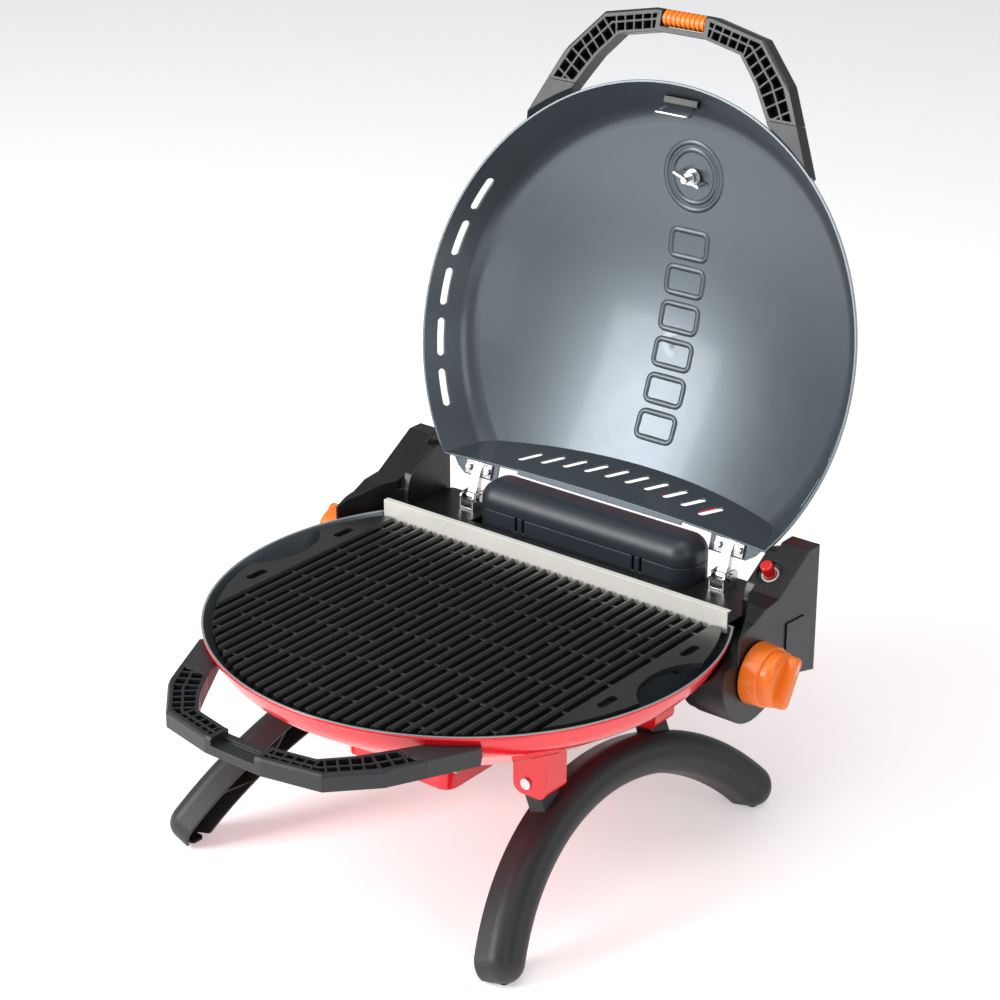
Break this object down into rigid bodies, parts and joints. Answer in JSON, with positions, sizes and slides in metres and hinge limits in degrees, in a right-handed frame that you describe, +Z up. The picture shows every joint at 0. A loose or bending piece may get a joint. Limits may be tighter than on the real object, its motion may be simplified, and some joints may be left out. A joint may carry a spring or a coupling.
{
  "type": "portable clamshell gas grill",
  "caption": "Portable clamshell gas grill: round bowl with cast grate, domed hinged lid, side towers with burner knobs, folding arch legs.",
  "frame": {"origin": "centre of the grill's bounding box, at ground level under the feet", "axes": "+X to the user's right along the lid hinge, -Y towards the user, +Z up"},
  "size_m": [0.525, 0.6303, 0.6749],
  "materials": {
    "enamel_red": "glossy vitreous enamel, red outside and slate grey inside",
    "grate_iron": "satin black enamel on cast iron",
    "stainless": "brushed",
    "burner_steel": "satin tube, slightly heat toned",
    "brass": "machined",
    "gas_tube": "drawn tube, satin",
    "zinc_casting": "die cast, matt",
    "housing_black": "satin moulded",
    "panel_black": "fine texture",
    "collar_white": "smooth",
    "ceramic_white": "glazed ceramic",
    "lead_rubber": "matt sleeve",
    "box_slate": "fine moulded texture",
    "chrome": "bright plating",
    "handle_plastic": "fine moulded texture",
    "bracket_grey": "fine moulded texture",
    "bracket_red": "glossy enamel",
    "pin_steel": "zinc plated",
    "dial_white": "satin printed dial",
    "gauge_glass": "clear",
    "needle_red": "satin",
    "grip_orange": "satin ribbed",
    "knob_orange": "smooth satin",
    "button_red": "glossy",
    "leg_plastic": "coarse moulded texture",
    "foot_rubber": "matt"
  },
  "bodies": {
    "base": {"back_strip": "stainless", "bowl": "enamel_red", "burner_stand": "burner_steel", "cooking_grate": "grate_iron", "gas_inlet": "brass", "gas_manifold": "gas_tube", "gas_regulator": "zinc_casting", "gas_tube_left": "gas_tube", "gas_tube_right": "gas_tube", "gas_valve_left": "brass", "gas_valve_right": "brass", "hinge_bracket_left": "chrome", "hinge_bracket_right": "chrome", "hinge_pin_left": "chrome", "hinge_pin_right": "chrome", "igniter_body": "collar_white", "igniter_lead": "lead_rubber", "inner_burner": "burner_steel", "leg_bracket_front_left": "bracket_red", "leg_bracket_front_right": "bracket_red", "leg_bracket_rear_left": "bracket_red", "leg_bracket_rear_right": "bracket_red", "leg_pins": "pin_steel", "lower_handle": "handle_plastic", "lower_handle_bracket_left": "bracket_grey", "lower_handle_bracket_right": "bracket_grey", "outer_burner": "burner_steel", "rear_deck": "housing_black", "regulator_tube": "gas_tube", "side_panel_left": "panel_black", "side_panel_right": "panel_black", "side_tower_left": "housing_black", "side_tower_right": "housing_black", "spark_electrode": "ceramic_white", "storage_box": "box_slate", "storage_box_cover": "box_slate", "tray_rails": "burner_steel"},
    "lid": {"hinge_arm_left": "chrome", "hinge_arm_right": "chrome", "hinge_screws": "pin_steel", "hold_down_block": "housing_black", "hold_down_wire": "pin_steel", "lid": "enamel_red", "lid_handle": "handle_plastic", "lid_handle_bracket_left": "bracket_grey", "lid_handle_bracket_right": "bracket_grey", "thermometer_case": "stainless", "thermometer_dial": "dial_white", "thermometer_glass": "gauge_glass", "wing_nut": "pin_steel"},
    "latch": {"latch_grip": "grip_orange"},
    "thermometer_needle": {"thermometer_needle": "needle_red"},
    "knob_right": {"burner_knob_right": "knob_orange"},
    "knob_left": {"burner_knob_left": "knob_orange"},
    "igniter_button": {"igniter_button": "button_red"},
    "leg_right": {"foot_pads_right": "foot_rubber", "leg_right": "leg_plastic"},
    "leg_left": {"foot_pads_left": "foot_rubber", "leg_left": "leg_plastic"},
    "drip_tray": {"drip_tray": "enamel_red"}
  },
  "joints": [
    {"name": "lid_hinge", "type": "hinge", "parent": "base", "child": "lid", "pos_m": [0, 0.157, 0.219], "axis": [1, 0, 0], "range_deg": [0, 106.2]},
    {"name": "latch_turn", "type": "hinge", "parent": "lid", "child": "latch", "pos_m": [0, 0.28278, 0.66627], "axis": [1, 0, 0], "range_deg": [0, 40], "stiffness_Nm_per_rad": 0.05},
    {"name": "thermometer_needle_turn", "type": "hinge", "parent": "lid", "child": "thermometer_needle", "pos_m": [0, 0.30193, 0.52158], "axis": [0, -0.9999, 0.0158], "range_deg": [0, 250], "stiffness_Nm_per_rad": 0.001},
    {"name": "knob_right_turn", "type": "hinge", "parent": "base", "child": "knob_right", "pos_m": [0.24, 0.083, 0.181], "axis": [-1, 0, 0], "range_deg": [0, 220]},
    {"name": "knob_left_turn", "type": "hinge", "parent": "base", "child": "knob_left", "pos_m": [-0.24, 0.083, 0.181], "axis": [1, 0, 0], "range_deg": [0, 220]},
    {"name": "igniter_press", "type": "slide", "parent": "base", "child": "igniter_button", "axis": [0, 0.5333, -0.8459], "range_m": [0, 0.006], "stiffness_N_per_m": 500},
    {"name": "leg_right_fold", "type": "hinge", "parent": "base", "child": "leg_right", "pos_m": [0.13, -0.024, 0.125], "axis": [0, 1, 0], "range_deg": [0, 78]},
    {"name": "leg_left_fold", "type": "hinge", "parent": "base", "child": "leg_left", "pos_m": [-0.13, -0.024, 0.125], "axis": [0, -1, 0], "range_deg": [0, 78]},
    {"name": "drip_tray_slide", "type": "slide", "parent": "base", "child": "drip_tray", "axis": [0, -1, 0], "range_m": [0, 0.09]}
  ]
}
